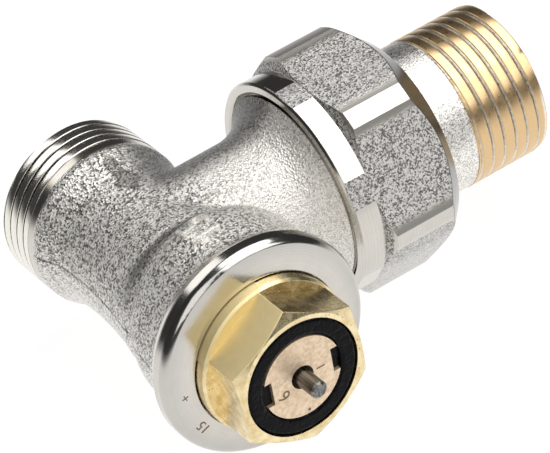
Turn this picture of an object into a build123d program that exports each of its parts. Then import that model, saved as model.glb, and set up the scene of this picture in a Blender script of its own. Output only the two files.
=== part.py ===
from build123d import *
import os
from math import cos, hypot, radians, sin, sqrt

# Angle radiator valve with a presetting insert, lying on its side.
# The two pipe axes cross at the origin: the tail leaves along +X, the insert along -Y, the inlet along +Y.
# A station on the valve axis is counted from the crossing towards the insert, so the inlet's are negative.
# All sizes are in millimetres.

# Clearances
running_clearance = 0.05
thread_clearance = 0.08
seal_clearance = 0.03
free_clearance = 0.3
axial_clearance = 0.1

# Inlet spigot with its male thread, left at core size, and its pipe socket
inlet_length = 19.3
inlet_thread_diameter = 22.0
inlet_thread_pitch = 1.5
inlet_thread_length = 6.0
inlet_land = 2.2
inlet_chamfer = 0.8
inlet_run_out = 0.9
metric_thread_depth = 0.6134
pipe_diameter = 15.0
pipe_clearance = 0.1
pipe_stop = 1.7
olive_cone = 1.0
inlet_bore = 13.2

# Forged neck, chamber and head collar
neck_radius = 9.65
neck_waist = 4.0
neck_shoulder = 3.4
neck_shoulder_drop = 1.2
crease_station = 8.7
crease_radius = 11.0
chamber_radius = 13.2
chamber_draft = 0.6
chamber_offset = 1.5
chamber_round = 5.5
chamber_round_drop = 2.0
chamber_steps = 3
collar_back = 19.6
collar_radius = 14.63
collar_back_drop = 0.73
collar_cone_length = 1.05
collar_cone_drop = 0.23
collar_groove = 0.3
collar_groove_depth = 0.35
collar_rim = 1.15
collar_nose = 1.16
collar_nose_drop = 0.69
collar_lip = 0.54

# Flow arrow raised on the neck
arrow_length = 7.0
arrow_width = 3.6
arrow_shaft = 1.5
arrow_head = 3.2
arrow_height = 0.35
arrow_side = 0.9
arrow_from_crossing = 6.3

# Seat and chamber bore
seat_station = 7.0
seat_bore = 8.4
seat_rim = 1.0
seat_rim_height = 0.7
seat_web = 1.6
chamber_bore = 15.0

# Branch and its union thread
branch_bore = 12.6
branch_radius = 9.6
branch_taper = 0.1
flare_start = 14.5
flare_end = 20.3
branch_length = 29.5
branch_chamfer = 0.8
union_thread_diameter = 26.4
mouth_depth = 5.0
mouth_diameter = 19.2

# Union nut
nut_wall = 1.8
nut_corner_wall = 3.45
nut_corner_angle = 126.2
nut_collar_length = 3.5
nut_shoulder = 0.8
nut_nose = 3.2
nut_nose_rise = 0.3
nut_front_wall = 3.58
nut_edge = 0.3
nut_hexagon_shift = 0.2
nut_mouth = 0.5

# Tail, with its pipe thread left at core size
tail_length = 53.05
tail_shoulder = 2.0
tail_flange_step = 0.8
tail_flange_length = 2.9
tail_thread_depth = 1.085
tail_thread_length = 11.0
tail_run_out = 1.6
tail_chamfer = 1.0
tail_bore = 10.8
tail_key = 11.0
tail_key_depth = 12.0
nose_length = 2.5
nose_gap = 0.35
tail_seal_cord = 1.1
slip_ring_thickness = 0.46
slip_ring_gap = 0.68

# Insert housing
flange_sink = 2.0
flange_radius = 10.4
flange_clearance = 0.17
flange_length = 3.7
flange_edge = 0.3
insert_rim = 0.75
insert_corner_angle = 33.7
insert_hexagon_length = 5.8
insert_chamfer = 0.75
insert_face_rim = 0.6
insert_thread_radius = 9.45
insert_thread_length = 7.3
spigot_radius = 8.95
spigot_length = 2.3
spigot_seal_cord = 1.2
ring_recess = 2.3

# Setting ring and presetting spindle
ring_radius = 7.93
ring_clearance = 0.07
ring_round = 0.55
head_radius = 5.57
head_clearance = 0.08
notch_width = 3.4
notch_depth = 1.22
tube_radius = 5.0
tube_bore = 6.8
tube_end = 8.5
tube_flat = 4.4
spindle_seal_cord = 0.88
spindle_seal_depth = 3.2
circlip_thickness = 0.7
circlip_width = 1.8
circlip_groove = 0.6
circlip_gap = 2.4
gland_bore = 5.2
gland_depth = 3.6
gland_wall = 1.6
pin_hole = 3.2

# Throttle sleeve
sleeve_wall = 1.0
sleeve_top = 1.5
sleeve_reach = 6.3
window_width = 10.0
window_length = 11.0

# Pin, stem and closing disc
pin_diameter = 2.3
pin_reach = 3.5
pin_foot = 0.9
pin_tip = 0.25
stem_diameter = 3.8
stem_flange = 1.4
disc_gap = 0.6
disc_thickness = 2.2
lift = 2.6
screw_diameter = 2.4
screw_length = 6.4
screw_head_radius = 2.2
screw_head = 1.3
screw_slot_width = 0.7
screw_slot_depth = 0.6
washer_radius = 2.8
washer_thickness = 0.8
guide_length = 2.0
gland_bush_length = 1.8
pin_seal_cord = 1.3
pin_seal_gap = 0.3

# Return spring with its cap and clip
spring_wire = 0.7
spring_turns = 6
spring_radius = 2.65
spring_length = 9.5
cap_thickness = 0.8
cap_radius = 3.05
clip_thickness = 0.6
clip_radius = 2.9
clip_groove = 0.4
clip_gap = 1.6

# Values that several pieces share, worked out from the sizes above
inlet_radius = inlet_thread_diameter / 2
inlet_core_radius = inlet_radius - metric_thread_depth * inlet_thread_pitch
thread_stop = inlet_length - inlet_thread_length
land_stop = thread_stop - inlet_land
shoulder_stop = land_stop - neck_shoulder
socket_radius = pipe_diameter / 2 + pipe_clearance
chamber_floor = seat_station + seat_rim_height
web_stop = chamber_floor + seat_web
socket_stop = web_stop + pipe_stop
collar_rim_start = collar_back + collar_cone_length + collar_groove
collar_rim_end = collar_rim_start + collar_rim
collar_front = collar_rim_end + collar_nose
collar_face = collar_front + collar_lip
collar_cone_radius = collar_radius - collar_cone_drop
flange_seat = collar_face - flange_sink
flange_hole = flange_radius + flange_clearance
flange_front = flange_seat + flange_length
insert_front = flange_front + insert_hexagon_length
recess_floor = insert_front - ring_recess
recess_radius = ring_radius + ring_clearance
insert_across_flats = 2 * (recess_radius + insert_rim)
insert_thread_end = flange_seat - insert_thread_length
housing_end = insert_thread_end - spigot_length
spigot_bore = spigot_radius + running_clearance
spigot_seal_station = housing_end + spigot_length / 2
head_back = recess_floor + axial_clearance
head_front = insert_front - axial_clearance
tube_hole = tube_radius + running_clearance
spindle_seal_station = recess_floor - spindle_seal_depth
circlip_front = housing_end - axial_clearance
circlip_back = circlip_front - circlip_thickness
circlip_inner = tube_radius - circlip_groove
gland_front = head_front - gland_wall
gland_floor = gland_front - gland_depth
bush_back = gland_floor - gland_bush_length
pin_radius = pin_diameter / 2
stem_radius = stem_diameter / 2
stem_top = bush_back - free_clearance - pin_foot
sleeve_radius = chamber_bore / 2 - free_clearance
disc_radius = sleeve_radius - sleeve_wall - disc_gap
guide_top = tube_end + guide_length
cap_station = guide_top + spring_length
clip_station = cap_station + cap_thickness
disc_face = lift - seat_station
stem_foot = disc_face + disc_thickness
screw_seat = disc_face - washer_thickness
screw_end = screw_seat + screw_length
screw_hole = screw_diameter / 2 + seal_clearance
pin_seal_outer = pin_radius + running_clearance + pin_seal_cord
inner_seal_station = gland_floor + pin_seal_gap + pin_seal_cord / 2
outer_seal_station = inner_seal_station + pin_seal_cord + pin_seal_gap
union_radius = union_thread_diameter / 2
mouth_radius = mouth_diameter / 2
mouth_start = branch_length - mouth_depth
mouth_slope = (mouth_radius - branch_bore / 2) / mouth_depth
nose_start = branch_length - nose_length
nose_root_radius = mouth_radius - nose_gap
nose_tip_radius = nose_root_radius - mouth_slope * nose_length
tail_seal_station = branch_length - nose_length / 2
tail_seal_room = (tail_seal_cord / 2 + seal_clearance) * hypot(1, mouth_slope)
tail_seal_outer = mouth_radius - mouth_slope * nose_length / 2 - tail_seal_room + tail_seal_cord / 2
tail_flange_radius = union_radius - tail_flange_step
tail_radius = tail_flange_radius - tail_shoulder
flange_back = branch_length + tail_flange_length
nut_bore_radius = union_radius + thread_clearance
nut_collar_radius = union_radius + nut_wall
nut_corner_radius = union_radius + nut_corner_wall
nut_land = flange_back + slip_ring_thickness + 2 * seal_clearance
nut_start = flare_end + axial_clearance
nut_end = nut_land + nut_front_wall
nut_hole_radius = tail_radius + free_clearance
tail_core_radius = tail_radius - tail_thread_depth
tail_thread_start = tail_length - tail_thread_length

valve_plane = Plane(origin=(0, 0, 0), x_dir=(0, -1, 0), z_dir=(-1, 0, 0))
branch_plane = Plane.XZ


def turned(plane, *corners):
    """Face with the given station and radius corners, to be turned about the plane's own X axis."""
    with BuildSketch(plane) as profile:
        with BuildLine():
            Polyline(*corners, close=True)
        make_face()
    return profile.sketch


def band(plane, start, end, inner, outer):
    """Rectangular section of a plain ring, from one station to another."""
    return turned(plane, (start, inner), (end, inner), (end, outer), (start, outer))


def cord_section(plane, station, outer, cord):
    """Round section of a sealing ring that reaches out to the given radius."""
    with BuildSketch(plane) as section:
        with Locations((station, outer - cord / 2)):
            Circle(cord / 2)
    return section.sketch


def hexagon(plane, across_flats, corner_angle, shift=0.0, shift_angle=0.0):
    """Hexagon with its first corner at an angle, and its centre moved a little off the axis."""
    corner_radius = across_flats / 2 / cos(radians(30))
    centre_x = shift * cos(radians(shift_angle))
    centre_y = shift * sin(radians(shift_angle))
    angles = [radians(corner_angle + 60 * side) for side in range(6)]
    corners = [(centre_x + corner_radius * cos(a), centre_y + corner_radius * sin(a)) for a in angles]
    with BuildSketch(plane) as outline:
        with BuildLine():
            Polyline(*corners, close=True)
        make_face()
    return outline.sketch


def neck_face(extra):
    """Face of the forged neck from the land to the collar, with every radius larger by the extra."""
    shoulder_radius = inlet_radius - neck_shoulder_drop + extra
    with BuildSketch(valve_plane) as profile:
        with BuildLine():
            Polyline(
                (collar_back, crease_radius + extra),
                (collar_back, 0),
                (-land_stop, 0),
                (-land_stop, inlet_radius + extra),
                (-shoulder_stop, shoulder_radius),
            )
            ThreePointArc(
                (-shoulder_stop, shoulder_radius),
                (-neck_waist, neck_radius + extra),
                (crease_station, crease_radius + extra),
            )
            Line((crease_station, crease_radius + extra), (collar_back, crease_radius + extra))
        make_face()
    return profile.sketch


# Flow arrow: a thin layer over the neck, cut to an arrow that points to the insert
with BuildPart() as flow_arrow:
    revolve(neck_face(arrow_height), axis=Axis.Y)
    with BuildSketch(Plane.XY):
        with BuildLine():
            tip = arrow_from_crossing - arrow_length / 2
            Polyline(
                (arrow_side - arrow_shaft / 2, tip + arrow_length),
                (arrow_side - arrow_shaft / 2, tip + arrow_head),
                (arrow_side - arrow_width / 2, tip + arrow_head),
                (arrow_side, tip),
                (arrow_side + arrow_width / 2, tip + arrow_head),
                (arrow_side + arrow_shaft / 2, tip + arrow_head),
                (arrow_side + arrow_shaft / 2, tip + arrow_length),
                close=True,
            )
        make_face()
    extrude(amount=inlet_thread_diameter, mode=Mode.INTERSECT)

# Valve body: one forging, machined at its ends
with BuildPart() as valve_body:
    revolve(neck_face(0), axis=Axis.Y)
    spigot_section = turned(
        valve_plane,
        (-land_stop, 0),
        (-inlet_length, 0),
        (-inlet_length, inlet_core_radius - inlet_chamfer),
        (inlet_chamfer - inlet_length, inlet_core_radius),
        (-thread_stop - inlet_run_out, inlet_core_radius),
        (-thread_stop, inlet_radius),
        (-land_stop, inlet_radius),
    )
    revolve(spigot_section, axis=Axis.Y)

    # Branch, about as thick as the neck, with its trumpet and the union thread's crest
    with BuildSketch(branch_plane):
        with BuildLine():
            trunk_end = (flare_start, branch_radius + branch_taper)
            trunk = Line((0, branch_radius), trunk_end)
            TangentArc(trunk_end, (flare_end, union_radius), tangent=trunk % 1)
            Polyline(
                (flare_end, union_radius),
                (branch_length - branch_chamfer, union_radius),
                (branch_length, union_radius - branch_chamfer),
                (branch_length, 0),
                (0, 0),
                (0, branch_radius),
            )
        make_face()
    revolve(axis=Axis.X)


    # Chamber: round sections that begin beside the valve axis and end on it, with a rounded back edge
    round_radius = (chamber_round**2 + chamber_round_drop**2) / (2 * chamber_round_drop)
    for step in range(chamber_steps + 1):
        before_end = chamber_round * (1 - step / chamber_steps)
        station = crease_station + chamber_round - before_end
        section_radius = chamber_radius - round_radius + sqrt(round_radius**2 - before_end**2)
        aside = chamber_offset * (collar_back - station) / (collar_back - crease_station)
        with BuildSketch(Plane.XZ.offset(station)):
            with Locations((aside, 0)):
                Circle(section_radius)
    with BuildSketch(Plane.XZ.offset(collar_back)):
        Circle(chamber_radius + chamber_draft)
    loft()
    add(flow_arrow.part)

    # Head collar: a cone, a fine groove and a turned rim with a rounded front
    with BuildSketch(valve_plane):
        with BuildLine():
            Polyline(
                (collar_front, collar_radius - collar_nose_drop),
                (collar_face, flange_hole),
                (collar_face, 0),
                (collar_back, 0),
                (collar_back, collar_radius - collar_back_drop),
                (collar_rim_start - collar_groove, collar_cone_radius),
                (collar_rim_start - collar_groove / 2, collar_cone_radius - collar_groove_depth),
                (collar_rim_start, collar_radius),
                (collar_rim_end, collar_radius),
            )
            TangentArc(
                (collar_rim_end, collar_radius),
                (collar_front, collar_radius - collar_nose_drop),
                tangent=(1, 0),
            )
        make_face()
    revolve(axis=Axis.Y)

    # Stepped bore of the valve axis: socket, waterway, seat, chamber and insert thread
    bore_section = turned(
        valve_plane,
        (-inlet_length, 0),
        (-inlet_length, socket_radius + olive_cone),
        (olive_cone - inlet_length, socket_radius),
        (-socket_stop, socket_radius),
        (-socket_stop, inlet_bore / 2),
        (-web_stop, inlet_bore / 2),
        (-web_stop, seat_bore / 2),
        (-seat_station, seat_bore / 2),
        (-seat_station, seat_bore / 2 + seat_rim),
        (-chamber_floor, seat_bore / 2 + seat_rim),
        (-chamber_floor, chamber_bore / 2),
        (housing_end - axial_clearance, chamber_bore / 2),
        (housing_end - axial_clearance, spigot_bore),
        (insert_thread_end - axial_clearance, spigot_bore),
        (insert_thread_end - axial_clearance, insert_thread_radius + running_clearance),
        (flange_seat, insert_thread_radius + running_clearance),
        (flange_seat, flange_hole),
        (collar_face, flange_hole),
        (collar_face, 0),
    )
    revolve(bore_section, axis=Axis.Y, mode=Mode.SUBTRACT)

    # Branch bore with the cone that the tail's nose enters
    branch_section = turned(
        branch_plane,
        (0, 0),
        (0, branch_bore / 2),
        (mouth_start, branch_bore / 2),
        (branch_length, mouth_radius),
        (branch_length, 0),
    )
    revolve(branch_section, axis=Axis.X, mode=Mode.SUBTRACT)

# Union nut: a hexagon, turned down to a collar, rounded corners and a nose
with BuildPart() as union_nut:
    nut_hexagon = hexagon(
        Plane.YZ.offset(nut_start),
        2 * nut_collar_radius,
        nut_corner_angle,
        nut_hexagon_shift,
        nut_corner_angle - 90,
    )
    extrude(nut_hexagon, amount=nut_end - nut_start)
    collar_end = nut_start + nut_collar_length
    nut_envelope = turned(
        branch_plane,
        (nut_start, 0),
        (nut_start, nut_collar_radius - nut_edge),
        (nut_start + nut_edge, nut_collar_radius),
        (collar_end, nut_collar_radius),
        (collar_end + nut_shoulder, nut_corner_radius),
        (nut_end - nut_nose, nut_corner_radius),
        (nut_end, union_radius + nut_nose_rise),
        (nut_end, 0),
    )
    revolve(nut_envelope, axis=Axis.X, mode=Mode.INTERSECT)
    nut_bore = turned(
        branch_plane,
        (nut_start, 0),
        (nut_start, nut_bore_radius + nut_mouth),
        (nut_start + nut_mouth, nut_bore_radius),
        (nut_land, nut_bore_radius),
        (nut_land, nut_hole_radius),
        (nut_end - nut_edge, nut_hole_radius),
        (nut_end, nut_hole_radius + nut_edge),
        (nut_end, 0),
    )
    revolve(nut_bore, axis=Axis.X, mode=Mode.SUBTRACT)

# Slip ring that the nut pulls against
with BuildPart() as nut_slip_ring:
    ring_start = flange_back + seal_clearance
    slip_section = band(
        branch_plane,
        ring_start,
        ring_start + slip_ring_thickness,
        nut_hole_radius,
        nut_bore_radius - slip_ring_gap,
    )
    revolve(slip_section, axis=Axis.X)

# Tail: sealing nose, flange, plain shank and threaded end, with a key socket inside
with BuildPart() as union_tail:
    groove_radius = tail_seal_outer - tail_seal_cord - seal_clearance
    groove_half = tail_seal_cord / 2 + axial_clearance
    tail_section = turned(
        branch_plane,
        (nose_start, tail_bore / 2),
        (nose_start, nose_tip_radius),
        (tail_seal_station - groove_half, nose_tip_radius + mouth_slope * (nose_length / 2 - groove_half)),
        (tail_seal_station - groove_half, groove_radius),
        (tail_seal_station + groove_half, groove_radius),
        (tail_seal_station + groove_half, nose_tip_radius + mouth_slope * (nose_length / 2 + groove_half)),
        (branch_length, nose_root_radius),
        (branch_length, tail_flange_radius),
        (flange_back, tail_flange_radius),
        (flange_back, tail_radius),
        (tail_thread_start, tail_radius),
        (tail_thread_start + tail_run_out, tail_core_radius),
        (tail_length - tail_chamfer, tail_core_radius),
        (tail_length, tail_core_radius - tail_chamfer),
        (tail_length, tail_bore / 2),
    )
    revolve(tail_section, axis=Axis.X)
    key_outline = hexagon(Plane.YZ.offset(nose_start), tail_key, nut_corner_angle)
    extrude(key_outline, amount=tail_key_depth, mode=Mode.SUBTRACT)

# Seal on the tail's nose
with BuildPart() as tail_oring:
    revolve(cord_section(branch_plane, tail_seal_station, tail_seal_outer, tail_seal_cord), axis=Axis.X)

# Insert housing: thread, flange and hexagon turned from one bar
with BuildPart() as insert_housing:
    insert_hexagon = hexagon(Plane.XZ.offset(flange_front), insert_across_flats, insert_corner_angle)
    extrude(insert_hexagon, amount=insert_hexagon_length)
    chamfer_start = insert_front - insert_chamfer
    chamfer_section = turned(
        valve_plane,
        (flange_front, 0),
        (flange_front, insert_across_flats),
        (chamfer_start, insert_across_flats),
        (chamfer_start, insert_across_flats / 2 / cos(radians(30))),
        (insert_front, recess_radius + insert_face_rim),
        (insert_front, 0),
    )
    revolve(chamfer_section, axis=Axis.Y, mode=Mode.INTERSECT)
    spigot_groove = spigot_bore - 2 * seal_clearance - spigot_seal_cord
    spigot_half = spigot_seal_cord / 2 + axial_clearance
    shank_section = turned(
        valve_plane,
        (housing_end, 0),
        (housing_end, spigot_radius),
        (spigot_seal_station - spigot_half, spigot_radius),
        (spigot_seal_station - spigot_half, spigot_groove),
        (spigot_seal_station + spigot_half, spigot_groove),
        (spigot_seal_station + spigot_half, spigot_radius),
        (insert_thread_end, spigot_radius),
        (insert_thread_end, insert_thread_radius),
        (flange_seat, insert_thread_radius),
        (flange_seat, flange_radius),
        (flange_front - flange_edge, flange_radius),
        (flange_front, flange_radius - flange_edge),
        (flange_front, 0),
    )
    revolve(shank_section, axis=Axis.Y)
    housing_bore = turned(
        valve_plane,
        (housing_end, 0),
        (housing_end, tube_hole),
        (recess_floor, tube_hole),
        (recess_floor, recess_radius),
        (insert_front, recess_radius),
        (insert_front, 0),
    )
    revolve(housing_bore, axis=Axis.Y, mode=Mode.SUBTRACT)

# Seal between the housing and the chamber
with BuildPart() as housing_oring:
    seal_outer = spigot_bore - seal_clearance
    housing_seal = cord_section(valve_plane, spigot_seal_station, seal_outer, spigot_seal_cord)
    revolve(housing_seal, axis=Axis.Y)

# Setting ring: black, with rounded front edges and two tabs that drive the spindle's head
with BuildPart() as setting_ring:
    ring_front = insert_front - running_clearance
    ring_inner = head_radius + head_clearance
    revolve(band(valve_plane, head_back, ring_front, ring_inner, ring_radius), axis=Axis.Y)
    front_edges = setting_ring.edges().group_by(Axis.Y)[0]
    fillet(front_edges, radius=ring_round)
    tab_inner = head_radius - notch_depth + running_clearance
    tab_length = (ring_inner + ring_radius) / 2 - tab_inner
    tab_width = notch_width - 2 * running_clearance
    with BuildSketch(Plane.XZ.offset(head_back)):
        with Locations((tab_inner + tab_length / 2, 0), (-tab_inner - tab_length / 2, 0)):
            Rectangle(tab_length, tab_width)
    extrude(amount=head_front - head_back - ring_round)

# Presetting spindle: notched head, tube, gland and drive flats in one turned piece
with BuildPart() as preset_spindle:
    spindle_groove = tube_hole - 2 * seal_clearance - spindle_seal_cord
    spindle_half = spindle_seal_cord / 2 + axial_clearance
    spindle_section = turned(
        valve_plane,
        (tube_end, tube_bore / 2),
        (tube_end, tube_radius),
        (circlip_back - seal_clearance, tube_radius),
        (circlip_back - seal_clearance, circlip_inner),
        (circlip_front + seal_clearance, circlip_inner),
        (circlip_front + seal_clearance, tube_radius),
        (spindle_seal_station - spindle_half, tube_radius),
        (spindle_seal_station - spindle_half, spindle_groove),
        (spindle_seal_station + spindle_half, spindle_groove),
        (spindle_seal_station + spindle_half, tube_radius),
        (head_back, tube_radius),
        (head_back, head_radius),
        (head_front, head_radius),
        (head_front, pin_hole / 2),
        (gland_front, pin_hole / 2),
        (gland_front, gland_bore / 2),
        (gland_floor, gland_bore / 2),
        (gland_floor, tube_bore / 2),
    )
    revolve(spindle_section, axis=Axis.Y)
    with BuildSketch(Plane.XZ.offset(head_back)):
        with Locations((head_radius, 0), (-head_radius, 0)):
            Rectangle(2 * notch_depth, notch_width)
    extrude(amount=head_front - head_back, mode=Mode.SUBTRACT)
    with BuildSketch(Plane.XZ.offset(tube_end)):
        with Locations((0, tube_flat + tube_radius / 2), (0, -tube_flat - tube_radius / 2)):
            Rectangle(2 * tube_radius, tube_radius)
    extrude(amount=sleeve_top + axial_clearance, mode=Mode.SUBTRACT)

# Seal and retaining ring of the spindle's tube
with BuildPart() as spindle_oring:
    seal_outer = tube_hole - seal_clearance
    spindle_seal = cord_section(valve_plane, spindle_seal_station, seal_outer, spindle_seal_cord)
    revolve(spindle_seal, axis=Axis.Y)

with BuildPart() as spindle_circlip:
    circlip_section = band(
        valve_plane,
        circlip_back,
        circlip_front,
        circlip_inner + seal_clearance,
        circlip_inner + circlip_width,
    )
    revolve(circlip_section, axis=Axis.Y)
    with BuildSketch(Plane.XZ.offset(circlip_back)):
        with Locations((circlip_inner + circlip_width / 2, 0)):
            Rectangle(2 * circlip_width, circlip_gap)
    extrude(amount=circlip_thickness, mode=Mode.SUBTRACT)

# Throttle sleeve: a cup on the tube's drive flats, with a window towards the branch
with BuildPart() as throttle_sleeve:
    sleeve_section = turned(
        valve_plane,
        (-sleeve_reach, sleeve_radius - sleeve_wall),
        (-sleeve_reach, sleeve_radius),
        (tube_end + sleeve_top, sleeve_radius),
        (tube_end + sleeve_top, 0),
        (tube_end, 0),
        (tube_end, sleeve_radius - sleeve_wall),
    )
    revolve(sleeve_section, axis=Axis.Y)
    with BuildSketch(Plane.XZ.offset(tube_end)):
        Circle(tube_radius + seal_clearance)
        Rectangle(2 * chamber_bore, 2 * (tube_flat + seal_clearance), mode=Mode.INTERSECT)
    extrude(amount=sleeve_top, mode=Mode.SUBTRACT)
    with BuildSketch(Plane.YZ):
        Rectangle(window_length, window_width)
    extrude(amount=chamber_bore, mode=Mode.SUBTRACT)

# Guide bush in the lower end of the tube
with BuildPart() as stem_guide:
    guide_section = band(
        valve_plane,
        tube_end,
        guide_top,
        stem_radius + running_clearance,
        tube_bore / 2 - seal_clearance,
    )
    revolve(guide_section, axis=Axis.Y)

# Gland bush and the two pin seals that it holds
with BuildPart() as gland_bush:
    bush_section = band(
        valve_plane,
        bush_back,
        gland_floor,
        pin_radius + running_clearance,
        tube_bore / 2 - seal_clearance,
    )
    revolve(bush_section, axis=Axis.Y)

with BuildPart() as pin_oring_inner:
    revolve(cord_section(valve_plane, inner_seal_station, pin_seal_outer, pin_seal_cord), axis=Axis.Y)

with BuildPart() as pin_oring_outer:
    revolve(cord_section(valve_plane, outer_seal_station, pin_seal_outer, pin_seal_cord), axis=Axis.Y)

# Steel pin with a foot that the gland bush stops
with BuildPart() as steel_pin:
    pin_front = insert_front + pin_reach
    pin_section = turned(
        valve_plane,
        (stem_top, 0),
        (stem_top, stem_radius),
        (stem_top + pin_foot, stem_radius),
        (stem_top + pin_foot, pin_radius),
        (pin_front - pin_tip, pin_radius),
        (pin_front, pin_radius - pin_tip),
        (pin_front, 0),
    )
    revolve(pin_section, axis=Axis.Y)

# Stem with the flange that backs the closing disc
with BuildPart() as valve_stem:
    stem_section = turned(
        valve_plane,
        (stem_foot, 0),
        (stem_foot, disc_radius),
        (stem_foot + stem_flange, disc_radius),
        (stem_foot + stem_flange, stem_radius),
        (clip_station - seal_clearance, stem_radius),
        (clip_station - seal_clearance, stem_radius - clip_groove),
        (clip_station + clip_thickness + seal_clearance, stem_radius - clip_groove),
        (clip_station + clip_thickness + seal_clearance, stem_radius),
        (stem_top, stem_radius),
        (stem_top, 0),
    )
    revolve(stem_section, axis=Axis.Y)
    screw_bore = band(valve_plane, stem_foot, screw_end + axial_clearance, 0, screw_hole)
    revolve(screw_bore, axis=Axis.Y, mode=Mode.SUBTRACT)

# Rubber closing disc, its washer and the screw that holds both
with BuildPart() as valve_disc:
    revolve(band(valve_plane, disc_face, stem_foot, screw_hole, disc_radius), axis=Axis.Y)

with BuildPart() as disc_washer:
    revolve(band(valve_plane, screw_seat, disc_face, screw_hole, washer_radius), axis=Axis.Y)

with BuildPart() as disc_screw:
    screw_section = turned(
        valve_plane,
        (screw_seat - screw_head, 0),
        (screw_seat - screw_head, screw_head_radius),
        (screw_seat, screw_head_radius),
        (screw_seat, screw_diameter / 2),
        (screw_end, screw_diameter / 2),
        (screw_end, 0),
    )
    revolve(screw_section, axis=Axis.Y)
    with BuildSketch(Plane.XZ.offset(screw_seat - screw_head)):
        Rectangle(2 * screw_head_radius, screw_slot_width)
    extrude(amount=screw_slot_depth, mode=Mode.SUBTRACT)

# Return spring, from the guide bush up to its cap
with BuildPart() as return_spring:
    coil_height = spring_length - spring_wire
    with BuildLine() as coil:
        Helix(
            pitch=coil_height / spring_turns,
            height=coil_height,
            radius=spring_radius,
            center=(0, -guide_top - spring_wire / 2, 0),
            direction=(0, -1, 0),
        )
    with BuildSketch(Plane(origin=coil.line @ 0, z_dir=coil.line % 0)):
        Circle(spring_wire / 2)
    sweep(is_frenet=True)

# Spring cap and the clip that holds it on the stem
with BuildPart() as spring_cap:
    cap_section = band(valve_plane, cap_station, clip_station, stem_radius + running_clearance, cap_radius)
    revolve(cap_section, axis=Axis.Y)

with BuildPart() as stem_clip:
    clip_inner = stem_radius - clip_groove + seal_clearance
    clip_end = clip_station + clip_thickness
    revolve(band(valve_plane, clip_station, clip_end, clip_inner, clip_radius), axis=Axis.Y)
    with BuildSketch(Plane.XZ.offset(clip_station)):
        with Locations(((clip_inner + clip_radius) / 2, 0)):
            Rectangle(2 * (clip_radius - clip_inner), clip_gap)
    extrude(amount=clip_thickness, mode=Mode.SUBTRACT)

pieces = {
    "valve_body": valve_body,
    "union_nut": union_nut,
    "nut_slip_ring": nut_slip_ring,
    "union_tail": union_tail,
    "tail_oring": tail_oring,
    "insert_housing": insert_housing,
    "housing_oring": housing_oring,
    "setting_ring": setting_ring,
    "preset_spindle": preset_spindle,
    "spindle_oring": spindle_oring,
    "spindle_circlip": spindle_circlip,
    "throttle_sleeve": throttle_sleeve,
    "stem_guide": stem_guide,
    "gland_bush": gland_bush,
    "pin_oring_inner": pin_oring_inner,
    "pin_oring_outer": pin_oring_outer,
    "steel_pin": steel_pin,
    "valve_stem": valve_stem,
    "valve_disc": valve_disc,
    "disc_washer": disc_washer,
    "disc_screw": disc_screw,
    "return_spring": return_spring,
    "spring_cap": spring_cap,
    "stem_clip": stem_clip,
}

os.makedirs("parts", exist_ok=True)
for label, piece in pieces.items():
    piece.part.label = label
    export_step(piece.part, f"parts/{label}.step")
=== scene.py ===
import logging
import math
from dataclasses import dataclass
from enum import Enum
from functools import partialmethod, reduce

import bmesh
import bpy
from mathutils import Matrix, Vector


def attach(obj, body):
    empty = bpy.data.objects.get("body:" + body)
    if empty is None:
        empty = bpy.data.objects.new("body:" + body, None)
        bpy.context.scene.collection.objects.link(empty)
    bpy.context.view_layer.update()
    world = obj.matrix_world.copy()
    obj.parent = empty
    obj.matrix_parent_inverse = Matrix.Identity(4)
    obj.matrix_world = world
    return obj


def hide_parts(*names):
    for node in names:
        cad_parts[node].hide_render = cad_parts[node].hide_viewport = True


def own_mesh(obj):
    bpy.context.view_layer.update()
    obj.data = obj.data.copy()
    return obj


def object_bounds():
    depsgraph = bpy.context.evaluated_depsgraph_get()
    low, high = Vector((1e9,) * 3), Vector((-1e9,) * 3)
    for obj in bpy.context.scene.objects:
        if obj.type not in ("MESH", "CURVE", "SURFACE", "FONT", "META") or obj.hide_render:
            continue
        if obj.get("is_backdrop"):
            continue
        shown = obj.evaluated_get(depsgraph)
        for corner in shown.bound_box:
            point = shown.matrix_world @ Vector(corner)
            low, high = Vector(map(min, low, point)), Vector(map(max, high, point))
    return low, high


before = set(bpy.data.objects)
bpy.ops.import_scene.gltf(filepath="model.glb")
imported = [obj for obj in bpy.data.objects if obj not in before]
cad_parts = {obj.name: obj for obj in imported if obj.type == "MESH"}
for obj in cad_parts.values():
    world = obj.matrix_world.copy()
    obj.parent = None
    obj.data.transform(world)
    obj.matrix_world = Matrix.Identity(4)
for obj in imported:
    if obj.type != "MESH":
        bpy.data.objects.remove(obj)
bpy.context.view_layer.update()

MM = 0.001
HAIR = 1e-7
SHARP_DEG = 35.0
Colour = tuple[float, float, float]
Ramp = tuple[float, float]
Window = tuple[Ramp, Ramp]
ColourOverlay = tuple[Colour, float]
Material = bpy.types.Material
Piece = bpy.types.Object
Socket = bpy.types.NodeSocket
log = logging.getLogger("angle_valve")


class Carrier(Enum):
    """Moving body that a piece goes along with."""

    BODY = "body"
    PRESET = "preset"


class Slot(Enum):
    """Material slot of the record that a new piece belongs to."""

    NICKEL = "nickel_plate"
    BRASS = "turned_brass"
    STEEL = "bright_steel"


class Axis(Enum):
    """Direction that a thread runs along."""

    TAIL = "X"
    INLET = "Y"


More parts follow.
